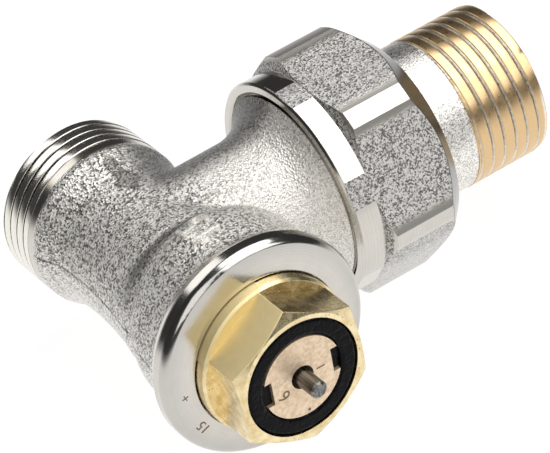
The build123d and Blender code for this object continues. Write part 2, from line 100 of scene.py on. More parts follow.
class Bench:
    """Short ways to select, edit and finish a mesh by hand."""

    @staticmethod
    def clear() -> None:
        """Leaves edit mode and deselects everything."""
        if bpy.context.object is not None and bpy.context.object.mode != "OBJECT":
            bpy.ops.object.mode_set(mode="OBJECT")
        bpy.ops.object.select_all(action="DESELECT")

    @staticmethod
    def take(piece: Piece) -> None:
        """Makes one object the only selected and the active one.

        Args:
            piece: object to work on.
        """
        Bench.clear()
        piece.select_set(True)
        bpy.context.view_layer.objects.active = piece

    @staticmethod
    def edit() -> None:
        """Enters edit mode with the whole mesh selected."""
        bpy.ops.object.mode_set(mode="EDIT")
        bpy.ops.mesh.select_mode(type="VERT")
        bpy.ops.mesh.select_all(action="SELECT")

    @staticmethod
    def pick_above(piece: Piece, height: float) -> None:
        """Selects the vertices above a height, in edit mode.

        Args:
            piece: object in edit mode.
            height: lowest Z of the selected vertices, in metres.
        """
        bpy.ops.mesh.select_all(action="DESELECT")
        mesh = bmesh.from_edit_mesh(piece.data)
        for vertex in mesh.verts:
            vertex.select = vertex.co.z > height
        mesh.select_flush(True)
        bmesh.update_edit_mesh(piece.data)

    @staticmethod
    def freeze() -> None:
        """Puts place, turn and scale of the selected object into its mesh."""
        bpy.ops.object.transform_apply(location=True, rotation=True, scale=True)

    @staticmethod
    def outward() -> None:
        """Merges doubles and turns every face outward, then leaves edit mode."""
        bpy.ops.mesh.select_all(action="SELECT")
        bpy.ops.mesh.remove_doubles(threshold=5 * HAIR)
        bpy.ops.mesh.normals_make_consistent(inside=False)
        bpy.ops.object.mode_set(mode="OBJECT")

    @staticmethod
    def modify(piece: Piece, kind: str, **settings: object) -> None:
        """Sets up one modifier and applies it.

        Args:
            piece: object that is changed.
            kind: type of the modifier.
            settings: values of the modifier, in order.
        """
        modifier = piece.modifiers.new(kind, kind)
        for name, value in settings.items():
            setattr(modifier, name, value)
        Bench.take(piece)
        bpy.ops.object.modifier_apply(modifier=modifier.name)

    @staticmethod
    def smooth(piece: Piece, degrees: float) -> None:
        """Shades a piece smooth, except across its sharp edges.

        Args:
            piece: object to shade.
            degrees: angle from which an edge stays sharp.
        """
        Bench.take(piece)
        bpy.ops.object.shade_smooth_by_angle(angle=math.radians(degrees))

    @staticmethod
    def letter(sign: str, height: float, steps: int) -> Piece:
        """Cuts a flat sign, centred on the origin.

        Args:
            sign: digits or other plain signs.
            height: size of the type in metres.
            steps: points along each of its curves.

        Returns:
            The sign as a flat mesh.
        """
        Bench.clear()
        bpy.ops.object.text_add()
        text = bpy.context.object.data
        text.body = sign
        text.align_x = "CENTER"
        text.align_y = "CENTER"
        text.size = height
        text.resolution_u = steps
        bpy.ops.object.convert(target="MESH")
        return bpy.context.object

    @staticmethod
    def settle(piece: Piece, name: str, carrier: Carrier, slot: Slot) -> None:
        """Puts the place into the mesh, names the piece and lets it ride.

        Args:
            piece: finished object.
            name: name of the piece.
            carrier: moving body that it goes along with.
            slot: material slot that it belongs to; not used.
        """
        Bench.take(piece)
        Bench.freeze()
        piece.name = name
        piece.data.name = name
        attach(piece, carrier.value)
        log.info("piece %s rides on %s", name, carrier.value)


class NodeSheet:
    """Material with short ways to lay and join its shader nodes.

    The place x, y and z is in metres. less, times, most, tint and between are short names for
    the methods above them.
    """

    MIX_SOCKETS = {"FLOAT": (2, 0), "RGBA": (6, 2)}
    SPECK_PATCH = 3.1
    SPECK_GATE = (0.5, 0.6)
    STREAK_DETAIL = 3.0
    BEVEL_SAMPLES = 6

    def __init__(self, name: str) -> None:
        """Starts the material.

        Args:
            name: name of the material.
        """
        self.material = bpy.data.materials.new(name)
        self.material.use_nodes = True
        self.nodes = self.material.node_tree.nodes
        self.links = self.material.node_tree.links
        self.shader = self.nodes["Principled BSDF"]
        self.place = self.lay("TexCoord").outputs["Object"]
        self.x, self.y, self.z = self.lay("SeparateXYZ", Vector=self.place).outputs

    def feed(self, socket: Socket, value: object) -> None:
        """Joins a node's output to a socket, or sets the socket to a constant.

        Args:
            socket: input to feed.
            value: output socket, number or colour.
        """
        if isinstance(value, Socket):
            self.links.new(value, socket)
        elif isinstance(value, tuple) and len(value) == 3 and socket.type == "RGBA":
            socket.default_value = (*value, 1.0)
        else:
            socket.default_value = value

    def lay(self, kind: str, **inputs: object) -> bpy.types.Node:
        """Lays one node and feeds its inputs.

        Args:
            kind: type of the node.
            inputs: what goes into each named input.

        Returns:
            The node.
        """
        node = self.nodes.new("ShaderNode" + kind)
        for name, value in inputs.items():
            self.feed(node.inputs[name], value)
        return node

    def sums(self, operation: str, *values: object) -> Socket:
        """Lays one Math node.

        Args:
            operation: what the node works out.
            values: its inputs, in order.

        Returns:
            The node's output.
        """
        node = self.lay("Math")
        node.operation = operation
        for socket, value in zip(node.inputs, values):
            self.feed(socket, value)
        return node.outputs[0]

    def chain(self, operation: str, *values: object) -> Socket:
        """Joins two or more values one after another.

        Args:
            operation: what each Math node works out.
            values: what is joined, in order.

        Returns:
            The last node's output.
        """
        return reduce(lambda first, second: self.sums(operation, first, second), values)

    less = partialmethod(sums, "SUBTRACT")
    times = partialmethod(chain, "MULTIPLY")
    most = partialmethod(chain, "MAXIMUM")

    def weighed(self, one: Socket, weight: float, two: Socket, other: float) -> Socket:
        """Sum of two values that each have a weight.

        Args:
            one: first value.
            weight: weight of the first value.
            two: second value.
            other: weight of the second value.

        Returns:
            The sum.
        """
        return self.sums("MULTIPLY_ADD", one, weight, self.times(two, other))

    def radius(self, one: Socket, two: Socket) -> Socket:
        """Distance from an axis.

        Args:
            one: first coordinate across the axis.
            two: second coordinate across the axis.

        Returns:
            The distance in metres.
        """
        return self.sums("SQRT", self.sums("MULTIPLY_ADD", two, two, self.times(one, one)))

    def step(self, value: Socket, low: float, high: float) -> Socket:
        """Soft step from 0 at the low value to 1 at the high one.

        Args:
            value: what is compared.
            low: where the step starts.
            high: where the step ends.

        Returns:
            The step, from 0 to 1.
        """
        node = self.lay("MapRange", **{"Value": value, "From Min": low, "From Max": high})
        node.interpolation_type = "SMOOTHSTEP"
        return node.outputs["Result"]

    def window(self, value: Socket, rise: Ramp, fall: Ramp) -> Socket:
        """Soft band between two steps.

        Args:
            value: what is compared.
            rise: where the band starts, from 0 to 1.
            fall: where the band ends, from 0 back to 1.

        Returns:
            1 in the band and 0 outside.
        """
        return self.times(self.step(value, *rise), self.step(value, *fall))

    def noise(self, size: float, detail: float = 3.0, stretch: Colour = (1.0, 1.0, 1.0)) -> Socket:
        """Random pattern of a given grain.

        Args:
            size: width of a grain in metres.
            detail: how many finer layers it has.
            stretch: scale of the place along each axis.

        Returns:
            The pattern, from 0 to 1.
        """
        vector = self.place
        if stretch != (1.0, 1.0, 1.0):
            vector = self.lay("Mapping", Vector=self.place, Scale=stretch).outputs[0]
        return self.lay("TexNoise", Vector=vector, Scale=1.0 / size, Detail=detail).outputs[0]

    def specks(self, size: float, reach: float) -> Socket:
        """Scattered round specks.

        Args:
            size: spacing of the specks in metres.
            reach: share of the spacing that a speck takes up.

        Returns:
            1 inside a speck and 0 outside.
        """
        _, distance = self.cells(size)
        edge = self.step(distance, reach, reach / 2)
        patches = self.noise(self.SPECK_PATCH * size, detail=2.0)
        return self.times(edge, self.step(patches, *self.SPECK_GATE))

    def cells(self, size: float) -> tuple[Socket, Socket]:
        """Grains that each have a shade of their own.

        Args:
            size: width of a grain in metres.

        Returns:
            Shade of the grain and distance from its middle.
        """
        node = self.lay("TexVoronoi", Vector=self.place, Scale=1.0 / size)
        split = self.lay("SeparateColor", Color=node.outputs["Color"])
        return split.outputs[0], node.outputs["Distance"]

    def streaks(self, along: Socket, spacing: float) -> Socket:
        """Uneven lines at right angles to a coordinate.

        Args:
            along: coordinate that the lines are spread over.
            spacing: usual distance from line to line in metres.

        Returns:
            The pattern, from 0 to 1.
        """
        node = self.lay("TexNoise", Scale=1.0, Detail=self.STREAK_DETAIL)
        node.noise_dimensions = "1D"
        self.feed(node.inputs["W"], self.times(along, 1.0 / spacing))
        return node.outputs[0]

    def mix(self, kind: str, share: Socket, first: object, second: object) -> Socket:
        """Colour or number between two.

        Args:
            kind: RGBA for colours and FLOAT for numbers.
            share: 0 for the first and 1 for the second.
            first: first colour or number.
            second: second colour or number.

        Returns:
            The mixed colour or number.
        """
        node = self.lay("Mix")
        node.data_type = kind
        low, out = self.MIX_SOCKETS[kind]
        self.feed(node.inputs[0], share)
        self.feed(node.inputs[low], first)
        self.feed(node.inputs[low + 1], second)
        return node.outputs[out]

    tint = partialmethod(mix, "RGBA")
    between = partialmethod(mix, "FLOAT")

    def stain(self, colour: Socket, mask: Socket, shade: Colour, share: float) -> Socket:
        """Colour with another colour laid over it through a mask: stains, wear, painted shade and painted
        highlights.

        Args:
            colour: colour under the overlay.
            mask: 1 where the overlay is.
            shade: colour laid over.
            share: how much of it covers.

        Returns:
            The colour with the overlay.
        """
        return self.tint(self.times(mask, share), colour, shade)

    def relief(self, height: Socket, depth: float, under: Socket | None = None) -> Socket:
        """Bumps from a height.

        Args:
            height: pattern that is raised.
            depth: how far 1 stands up, in metres.
            under: bumps that lie below these.

        Returns:
            The bent normal.
        """
        node = self.lay("Bump", Strength=1.0, Distance=depth, Height=height)
        if under is not None:
            self.feed(node.inputs["Normal"], under)
        return node.outputs[0]

    def soft_edges(self, width: object) -> Socket:
        """Normal that is rounded over at sharp edges.

        Args:
            width: radius of the rounding in metres, or a pattern of it.

        Returns:
            The bent normal.
        """
        node = self.lay("Bevel", Radius=width)
        node.samples = self.BEVEL_SAMPLES
        return node.outputs[0]

    def coat(self, colour: object, rough: object, metal: object, normal: Socket | None) -> None:
        """Joins the finished patterns to the shader.

        Args:
            colour: base colour.
            rough: roughness.
            metal: 1 for bare metal.
            normal: bent normal, if there is one.
        """
        self.feed(self.shader.inputs["Base Color"], colour)
        self.feed(self.shader.inputs["Roughness"], rough)
        self.feed(self.shader.inputs["Metallic"], metal)
        if normal is not None:
            self.feed(self.shader.inputs["Normal"], normal)


@dataclass(frozen=True)
class BlastedNickel:
    """Nickel plate over a blasted casting: matte, grainy and a little warm."""

    dark: Colour = (0.17, 0.16, 0.145)
    light: Colour = (1.0, 0.97, 0.92)
    contrast: Ramp = (0.24, 0.66)
    grain: float = 0.25 * MM
    depth: float = 0.17 * MM
    rough: Ramp = (0.20, 0.42)
    metal: float = 0.65
    dimple_share: float = 0.7
    cell_share: float = 0.6
    fine_share: float = 0.4

    def lay(self, sheet: NodeSheet) -> tuple[Socket, Socket, Socket]:
        """Lays the patterns of the grain.

        Args:
            sheet: material to lay them in.

        Returns:
            Colour, roughness and height of the grain.
        """
        shade, dimple = sheet.cells(self.grain)
        fine = sheet.noise(self.grain, detail=1.0)
        height = sheet.weighed(dimple, self.dimple_share, fine, self.fine_share)
        mixed = sheet.weighed(shade, self.cell_share, fine, self.fine_share)
        colour = sheet.tint(sheet.step(mixed, *self.contrast), self.dark, self.light)
        return colour, sheet.between(shade, *self.rough), height


@dataclass(frozen=True)
class TurnedNickel:
    """Nickel plate over a turned face: bright, with fine tool marks."""

    dark: Colour = (0.57, 0.545, 0.50)
    light: Colour = (0.67, 0.64, 0.59)
    contrast: Ramp = (0.25, 0.75)
    marks: float = 0.12 * MM
    cloud: float = 2.0 * MM
    mark_share: float = 0.7
    cloud_share: float = 0.3
    rough: Ramp = (0.10, 0.20)

    def lay(self, sheet: NodeSheet, along: Socket) -> tuple[Socket, Socket, Socket]:
        """Lays the patterns of the tool marks.

        Args:
            sheet: material to lay them in.
            along: coordinate that grows from mark to mark.

        Returns:
            Colour, roughness and height of the marks.
        """
        lines = sheet.streaks(along, self.marks)
        worn = sheet.weighed(lines, self.mark_share, sheet.noise(self.cloud), self.cloud_share)
        colour = sheet.tint(sheet.step(worn, *self.contrast), self.dark, self.light)
        return colour, sheet.between(worn, *self.rough), lines


@dataclass(frozen=True)
class BodyFinish:
    """Casting of the valve: blasted, with turned inlet and collar and a casting seam."""

    blast: BlastedNickel = BlastedNickel()
    bright: TurnedNickel = TurnedNickel()
    inlet: Ramp = (11.3 * MM, 12.3 * MM)
    inlet_rough: float = 0.2
    wear: Ramp = (0.5, 0.75)
    wear_cloud: float = 2.5 * MM
    wear_stain: ColourOverlay = ((0.62, 0.53, 0.38), 1.0)
    collar: Ramp = (-19.5 * MM, -19.6 * MM)
    lip: Window = ((-22.0 * MM, -22.2 * MM), (-23.6 * MM, -23.3 * MM))
    # Painted dark reflection band on the collar's rim, just behind its face.
    lip_reflection_shade: ColourOverlay = ((0.36, 0.36, 0.37), 0.25)
    brow: Ramp = (-23.5 * MM, -23.7 * MM)
    brow_from: float = 12.5 * MM
    brow_bend: float = 800.0
    union: Ramp = (20.35 * MM, 20.45 * MM)
    union_pitch: float = 1.814 * MM
    groove_wave: Ramp = (0.1, 0.9)
    # Painted shade in the groove of the union thread.
    groove_painted_shade: ColourOverlay = ((0.12, 0.115, 0.105), 0.75)
    groove_depth: float = 0.4 * MM
    # branch, underside, underside_share and the tint below paint a highlight on the branch and floor light on
    # the underside, with lighter, weaker grain there.
    branch: Ramp = (4.0 * MM, 11.0 * MM)
    underside: Ramp = (4.0 * MM, -5.0 * MM)
    underside_share: float = 0.7
    branch_painted_highlight: ColourOverlay = ((0.90, 0.87, 0.82), 0.74)
    # Painted shade in the crook between neck and branch.
    crook: Ramp = (-1.5 * MM, 3.5 * MM)
    crook_along: Ramp = (0.5 * MM, 6.0 * MM)
    crook_up: Ramp = (1.0 * MM, 5.0 * MM)
    crook_painted_shade: ColourOverlay = ((0.08, 0.077, 0.072), 0.75)
    seam_left: Ramp = (-3.0 * MM, -5.0 * MM)
    seam_at: float = 0.8 * MM
    seam_width: float = 0.45 * MM
    seam_rise: float = 1.5
    # Painted shade along the crease where the chamber stands up from the neck; crease_depth dents it as well.
    crease_along: Ramp = (11.0 * MM, 5.0 * MM)
    crease_up: Ramp = (3.0 * MM, 8.5 * MM)
    crease_at: float = -8.4 * MM
    crease_width: float = 1.9 * MM
    crease_painted_shade: ColourOverlay = ((0.075, 0.072, 0.06), 0.8)
    crease_depth: float = 0.5 * MM
    # Painted shade over the top of the flow arrow.
    arrow_side: float = 0.9 * MM
    arrow_tip: float = 2.8 * MM
    arrow_head: float = 3.2 * MM
    arrow_end: float = 7.0 * MM
    arrow_half: float = 1.8 * MM
    arrow_shaft: float = 0.75 * MM
    arrow_step: float = 0.05 * MM
    arrow_soft: Ramp = (-0.05 * MM, 0.1 * MM)
    arrow_up: Ramp = (4.0 * MM, 5.0 * MM)
    arrow_painted_shade: ColourOverlay = ((0.1, 0.097, 0.09), 0.65)
    edge: float = 0.2 * MM
    wide_edge: float = 2.2 * MM
    wide_x: Window = ((1.5 * MM, 3.0 * MM), (13.0 * MM, 11.0 * MM))
    wide_y: Window = ((-8.6 * MM, -7.8 * MM), (11.0 * MM, 9.0 * MM))
    mark_depth: float = 0.0015 * MM

    def material(self) -> Material:
        """Makes the material."""
        sheet = NodeSheet("body_nickel")
        x, y, z = sheet.x, sheet.y, sheet.z
        out = sheet.radius(x, z)
        inlet = sheet.step(y, *self.inlet)
        union = sheet.step(x, *self.union)
        turned = sheet.most(inlet, sheet.step(y, *self.collar), union)
        groove = sheet.times(union, self.union_groove(sheet))
        crease = self.crease(sheet)
        bright, bright_rough, marks = self.bright.lay(sheet, sheet.sums("ADD", y, out))
        worn = sheet.times(sheet.step(sheet.noise(self.wear_cloud), *self.wear), inlet)
        bright = sheet.stain(bright, worn, *self.wear_stain)
        # Painted dark reflection band on the collar's rim.
        bright = sheet.stain(bright, sheet.window(y, *self.lip), *self.lip_reflection_shade)
        # Painted shade in the union thread's groove.
        bright = sheet.stain(bright, groove, *self.groove_painted_shade)
        bright_rough = sheet.between(inlet, bright_rough, self.inlet_rough)
        cast, rough, grain = self.blast.lay(sheet)
        crook = sheet.step(y, *self.crook)
        # smooth is the mask of the painted highlight on the branch, away from the crook, and of the painted
        # floor light on the underside.
        smooth = sheet.most(sheet.times(sheet.step(x, *self.branch), sheet.less(1.0, crook)),
                            sheet.times(sheet.step(z, *self.underside), self.underside_share))
        # Mask of the painted shade in the crook between neck and branch.
        crook_shade_mask = sheet.times(sheet.step(x, *self.crook_along), crook, sheet.step(z, *self.crook_up))
        cast = sheet.stain(cast, smooth, *self.branch_painted_highlight)
        cast = sheet.stain(cast, crook_shade_mask, *self.crook_painted_shade)
        # Painted shade along the crease.
        cast = sheet.stain(cast, crease, *self.crease_painted_shade)
        # Painted shade over the flow arrow.
        cast = sheet.stain(cast, self.arrow(sheet), *self.arrow_painted_shade)
        aside = sheet.sums("ABSOLUTE", sheet.less(z, self.seam_at))
        seam = sheet.times(sheet.step(x, *self.seam_left), sheet.step(aside, self.seam_width, 0.0))
        raised = sheet.times(sheet.less(1.0, turned),
                             sheet.sums("MULTIPLY_ADD", seam, self.seam_rise, grain))
        wide = sheet.times(sheet.window(x, *self.wide_x), sheet.window(y, *self.wide_y))
        rounded = sheet.soft_edges(sheet.between(wide, self.edge, self.wide_edge))
        normal = sheet.relief(raised, self.blast.depth, rounded)
        normal = sheet.relief(sheet.times(crease, -1.0), self.crease_depth, normal)
        normal = sheet.relief(sheet.times(turned, marks), self.mark_depth, normal)
        normal = sheet.relief(sheet.times(groove, -1.0), self.groove_depth, normal)
        past = sheet.most(sheet.less(out, self.brow_from), 0.0)
        brow = sheet.times(past, past, -self.brow_bend, sheet.step(y, *self.brow))
        normal = sheet.relief(brow, 1.0, normal)
        sheet.coat(sheet.tint(turned, cast, bright), sheet.between(turned, rough, bright_rough),
                   sheet.between(turned, self.blast.metal, 1.0), normal)
        return sheet.material

    def union_groove(self, sheet: NodeSheet) -> Socket:
        """Right-hand thread groove around the branch's end, under the nut.

        Args:
            sheet: material to lay it in.

        Returns:
            1 in the groove and 0 on the crest.
        """
        turns = sheet.times(sheet.x, 2 * math.pi / self.union_pitch)
        angle = sheet.sums("ARCTAN2", sheet.z, sheet.y)
        return sheet.step(sheet.sums("SINE", sheet.less(turns, angle)), *self.groove_wave)

    def crease(self, sheet: NodeSheet) -> Socket:
        """Groove where the chamber stands up from the neck, fading towards the branch, darkened with painted
        shade.

        Args:
            sheet: material to lay it in.

        Returns:
            1 in the groove and 0 away from it.
        """
        aside = sheet.sums("ABSOLUTE", sheet.less(sheet.y, self.crease_at))
        fade = sheet.times(sheet.step(sheet.x, *self.crease_along), sheet.step(sheet.z, *self.crease_up))
        return sheet.times(fade, sheet.step(aside, self.crease_width, 0.0))

    def arrow(self, sheet: NodeSheet) -> Socket:
        """Top of the flow arrow, darkened with painted shade.

        Args:
            sheet: material to lay it in.

        Returns:
            1 on the arrow and 0 away from it.
        """
        past = sheet.less(sheet.y, self.arrow_tip)
        head = sheet.times(past, self.arrow_half / self.arrow_head)
        shaft = sheet.step(past, self.arrow_head, self.arrow_head + self.arrow_step)
        half = sheet.between(shaft, head, self.arrow_shaft)
        aside = sheet.sums("ABSOLUTE", sheet.less(sheet.x, self.arrow_side))
        inside = sheet.step(sheet.less(half, aside), *self.arrow_soft)
        ends = sheet.step(sheet.less(self.arrow_end, past), *self.arrow_soft)
        return sheet.times(inside, ends, sheet.step(sheet.z, *self.arrow_up))


@dataclass(frozen=True)
class RaisedSignHighlight:
    """Raised sign on the casting, painted a little brighter than the rest as a highlight."""

    # The light colour of this grain is a painted highlight on the raised sign.
    blast: BlastedNickel = BlastedNickel(dark=(0.74, 0.71, 0.66), depth=0.04 * MM, rough=(0.17, 0.39),
                                         metal=0.4)
    edge: float = 0.2 * MM

    def material(self) -> Material:
        """Makes the material."""
        sheet = NodeSheet("raised_nickel")
        colour, rough, grain = self.blast.lay(sheet)
        normal = sheet.relief(grain, self.blast.depth, sheet.soft_edges(self.edge))
        sheet.coat(colour, rough, self.blast.metal, normal)
        return sheet.material


@dataclass(frozen=True)
class NutFinish:
    """Union nut: blasted flats with a turned collar, corners and nose."""

    blast: BlastedNickel = BlastedNickel(dark=(0.12, 0.114, 0.11), light=(0.70, 0.68, 0.65), grain=0.2 * MM,
                                         depth=0.1 * MM, rough=(0.28, 0.50), metal=0.5)
    bright: TurnedNickel = TurnedNickel()
    collar: Ramp = (23.9 * MM, 23.8 * MM)
    collar_flats: Ramp = (14.88 * MM, 14.86 * MM)
    corner: Ramp = (15.85 * MM, 16.45 * MM)
    corner_deg: float = 126.2
    corner_rough: float = 0.34
    nose_from: float = 33.3 * MM
    nose_radius: float = 16.55 * MM
    nose_slope: float = 0.984
    nose_soft: Ramp = (0.0, 0.05 * MM)
    # Darker colour on the nose cone.
    nose_dark_tint: ColourOverlay = ((0.26, 0.255, 0.24), 1.0)
    # The nut's cast colour gets lighter towards the bottom over this height.
    worn: Ramp = (-6.0 * MM, -11.0 * MM)
    low_side_tint: ColourOverlay = ((0.74, 0.72, 0.69), 0.6)
    edge: float = 0.1 * MM
    mark_depth: float = 0.002 * MM

    def across(self, sheet: NodeSheet, flat: int) -> Socket:
        """Distance from the axis at right angles to one pair of flats.

        Args:
            sheet: material to lay it in.
            flat: which pair of flats, from 0 to 2.

        Returns:
            The distance in metres.
        """
        turn = math.radians(self.corner_deg + 30 + 60 * flat)
        return sheet.sums("ABSOLUTE", sheet.weighed(sheet.z, math.sin(turn), sheet.y, math.cos(turn)))

    def material(self) -> Material:
        """Makes the material."""
        sheet = NodeSheet("nut_nickel")
        x, y, z = sheet.x, sheet.y, sheet.z
        out = sheet.radius(y, z)
        reach = sheet.most(*(self.across(sheet, flat) for flat in range(3)))
        collar = sheet.times(sheet.step(x, *self.collar), sheet.step(reach, *self.collar_flats))
        corner = sheet.step(out, *self.corner)
        past = sheet.less(x, self.nose_from)
        cone = sheet.sums("MULTIPLY_ADD", past, -self.nose_slope, self.nose_radius)
        beyond = sheet.less(out, cone)
        nose = sheet.times(sheet.step(past, *self.nose_soft), sheet.step(beyond, *self.nose_soft))
        turned = sheet.most(collar, corner, nose)
        cast, rough, grain = self.blast.lay(sheet)
        # Lighter towards the bottom.
        cast = sheet.stain(cast, sheet.step(z, *self.worn), *self.low_side_tint)
        bright, bright_rough, marks = self.bright.lay(sheet, x)
        # Darker colour on the nose cone.
        bright = sheet.stain(bright, nose, *self.nose_dark_tint)
        bright_rough = sheet.between(corner, bright_rough, self.corner_rough)
        raised = sheet.times(sheet.less(1.0, turned), grain)
        normal = sheet.relief(raised, self.blast.depth, sheet.soft_edges(self.edge))
        normal = sheet.relief(sheet.times(turned, marks), self.mark_depth, normal)
        sheet.coat(sheet.tint(turned, cast, bright), sheet.between(turned, rough, bright_rough),
                   sheet.between(turned, self.blast.metal, 1.0), normal)
        return sheet.material


@dataclass(frozen=True)
class TailFinish:
    """Union tail: nickel that ends in a rough line, with bare brass beyond it."""

    blast: BlastedNickel = BlastedNickel(dark=(0.5, 0.48, 0.45), grain=0.16 * MM, depth=0.05 * MM,
                                         rough=(0.22, 0.44))
    border: Ramp = (42.8 * MM, 43.0 * MM)
    ragged: float = 1.4 * MM
    ragged_depth: float = 1.2 * MM
    brass: Colour = (0.82, 0.60, 0.30)
    pale: Colour = (0.90, 0.74, 0.47)
    cloud: float = 0.9 * MM
    brass_rough: float = 0.24
    edge: float = 0.12 * MM

    def material(self) -> Material:
        """Makes the material."""
        sheet = NodeSheet("tail_plate")
        line = sheet.sums("MULTIPLY_ADD", sheet.noise(self.ragged), self.ragged_depth, sheet.x)
        bare = sheet.step(line, *self.border)
        colour, rough, grain = self.blast.lay(sheet)
        brass = sheet.tint(sheet.noise(self.cloud), self.brass, self.pale)
        raised = sheet.times(sheet.less(1.0, bare), grain)
        normal = sheet.relief(raised, self.blast.depth, sheet.soft_edges(self.edge))
        sheet.coat(sheet.tint(bare, colour, brass), sheet.between(bare, rough, self.brass_rough), 1.0, normal)
        return sheet.material


@dataclass(frozen=True)
class ThreadFinish:
    """Thread ridges: crests of one colour, with narrow grooves of another."""

    name: str
    axis: Axis
    groove: Colour
    crest: Colour
    crest_edge: Ramp
    end: Ramp
    rough: Ramp
    ragged_depth: float = 0.08 * MM
    groove_dim: float = 0.8
    contrast: Ramp = (0.35, 0.65)
    cloud: float = 0.5 * MM
    tooling: float = 0.15 * MM
    tool_depth: float = 0.006 * MM

    def material(self) -> Material:
        """Makes the material."""
        sheet = NodeSheet(self.name)
        x, y, z = sheet.x, sheet.y, sheet.z
        along, across = (x, y) if self.axis is Axis.TAIL else (y, x)
        blur = sheet.noise(self.cloud)
        level = sheet.sums("MULTIPLY_ADD", blur, self.ragged_depth, sheet.radius(across, z))
        top = sheet.most(sheet.step(level, *self.crest_edge), sheet.step(along, *self.end))
        dimmed = tuple(self.groove_dim * value for value in self.groove)
        groove = sheet.tint(sheet.step(blur, *self.contrast), dimmed, self.groove)
        normal = sheet.relief(sheet.noise(self.tooling, detail=2.0), self.tool_depth)
        sheet.coat(sheet.tint(top, groove, self.crest), sheet.between(blur, *self.rough), 1.0, normal)
        return sheet.material


@dataclass(frozen=True)
class TurnedBrass:
    """Bare brass, satin, with small pits and one matte flat that carries a painted highlight."""

    name: str = "turned_brass"
    deep: Colour = (0.72, 0.56, 0.29)
    pale: Colour = (0.93, 0.79, 0.50)
    contrast: Ramp = (0.3, 0.7)
    cloud: float = 1.1 * MM
    rough: Ramp = (0.18, 0.36)
    pit_stain: ColourOverlay = ((0.16, 0.11, 0.04), 0.75)
    pit_spacing: float = 0.55 * MM
    pit_reach: float = 0.22
    pit_depth: float = 2.0
    # matte and matte_deg pick out the upper-left flat, which gets a painted highlight and a higher roughness.
    matte: Ramp = (8.6 * MM, 8.7 * MM)
    matte_deg: float = 123.7
    matte_rough: float = 0.6
    matte_flat_highlight: ColourOverlay = ((1.0, 0.86, 0.5), 0.85)
    tooling: float = 0.18 * MM
    tool_depth: float = 0.007 * MM
    edge: float = 0.12 * MM

    def material(self) -> Material:
        """Makes the material."""
        sheet = NodeSheet(self.name)
        blur = sheet.noise(self.cloud, detail=4.0)
        pits = sheet.specks(self.pit_spacing, self.pit_reach)
        turn = math.radians(self.matte_deg)
        lean = sheet.weighed(sheet.z, math.sin(turn), sheet.x, math.cos(turn))
        matte = sheet.step(lean, *self.matte)
        colour = sheet.tint(sheet.step(blur, *self.contrast), self.deep, self.pale)
        colour = sheet.stain(colour, pits, *self.pit_stain)
        # Painted highlight on the matte flat.
        colour = sheet.stain(colour, matte, *self.matte_flat_highlight)
        rough = sheet.between(matte, sheet.between(blur, *self.rough), self.matte_rough)
        fine = sheet.noise(self.tooling, detail=2.0)
        height = sheet.less(fine, sheet.times(pits, self.pit_depth))
        sheet.coat(colour, rough, 1.0, sheet.relief(height, self.tool_depth, sheet.soft_edges(self.edge)))
        return sheet.material


@dataclass(frozen=True)
class DialBrass:
    """Flat matte face of the presetting dial."""

    deep: Colour = (0.70, 0.53, 0.36)
    pale: Colour = (0.88, 0.71, 0.52)
    contrast: Ramp = (0.3, 0.7)
    cloud: float = 0.5 * MM
    ripple: float = 0.012 * MM
    rough: float = 0.45
    metal: float = 0.75
    speck_stain: ColourOverlay = ((0.2, 0.13, 0.07), 0.5)
    speck_spacing: float = 0.5 * MM
    speck_reach: float = 0.2

    def material(self) -> Material:
        """Makes the material."""
        sheet = NodeSheet("dial_brass")
        blur = sheet.noise(self.cloud, detail=4.0)
        specks = sheet.specks(self.speck_spacing, self.speck_reach)
        colour = sheet.tint(sheet.step(blur, *self.contrast), self.deep, self.pale)
        colour = sheet.stain(colour, specks, *self.speck_stain)
        sheet.coat(colour, self.rough, self.metal, sheet.relief(blur, self.ripple))
        return sheet.material


@dataclass(frozen=True)
class PlainFinish:
    """Finish with one cloudy pattern, such as plastic, rubber or drawn steel."""

    name: str
    dark: Colour
    light: Colour
    rough: Ramp
    ripple: float
    contrast: Ramp = (0.45, 0.75)
    cloud: float = 0.7 * MM
    stretch: Colour = (1.0, 1.0, 1.0)
    metal: float = 0.0
    gloss: float = 0.5

    def material(self) -> Material:
        """Makes the material."""
        sheet = NodeSheet(self.name)
        sheet.feed(sheet.shader.inputs["Specular IOR Level"], self.gloss)
        blur = sheet.noise(self.cloud, stretch=self.stretch)
        colour = sheet.tint(sheet.step(blur, *self.contrast), self.dark, self.light)
        sheet.coat(colour, sheet.between(blur, *self.rough), self.metal, sheet.relief(blur, self.ripple))
        return sheet.material


@dataclass(frozen=True)
class StampFloorTone:
    """Dark floor of a stamped mark."""

    colour: Colour = (0.16, 0.11, 0.06)
    lift: float = 1.8
    cloud: float = 0.2 * MM
    rough: float = 0.55
    metal: float = 0.4

    def material(self) -> Material:
        """Makes the material."""
        sheet = NodeSheet("stamped_mark")
        lighter = tuple(self.lift * value for value in self.colour)
        blur = sheet.noise(self.cloud, detail=2.0)
        sheet.coat(sheet.tint(blur, self.colour, lighter), self.rough, self.metal, None)
        return sheet.material


@dataclass(frozen=True)
class PaleFloor:
    """White studio floor that nearly loses its shadows."""

    colour: Colour = (0.1, 0.1, 0.1)
    dim: float = 0.99
    cloud: float = 0.1
    rough: float = 0.8
    glow: float = 0.94
    far_glow: float = 0.25
    fade: Ramp = (0.07, 0.3)

    def material(self) -> Material:
        """Makes the material."""
        sheet = NodeSheet("pale_floor")
        darker = tuple(self.dim * value for value in self.colour)
        colour = sheet.tint(sheet.noise(self.cloud, detail=1.0), darker, self.colour)
        sheet.coat(colour, self.rough, 0.0, None)
        far = sheet.step(sheet.radius(sheet.x, sheet.y), *self.fade)
        sheet.feed(sheet.shader.inputs["Emission Color"], (1.0, 1.0, 1.0))
        sheet.feed(sheet.shader.inputs["Emission Strength"], sheet.between(far, self.glow, self.far_glow))
        return sheet.material


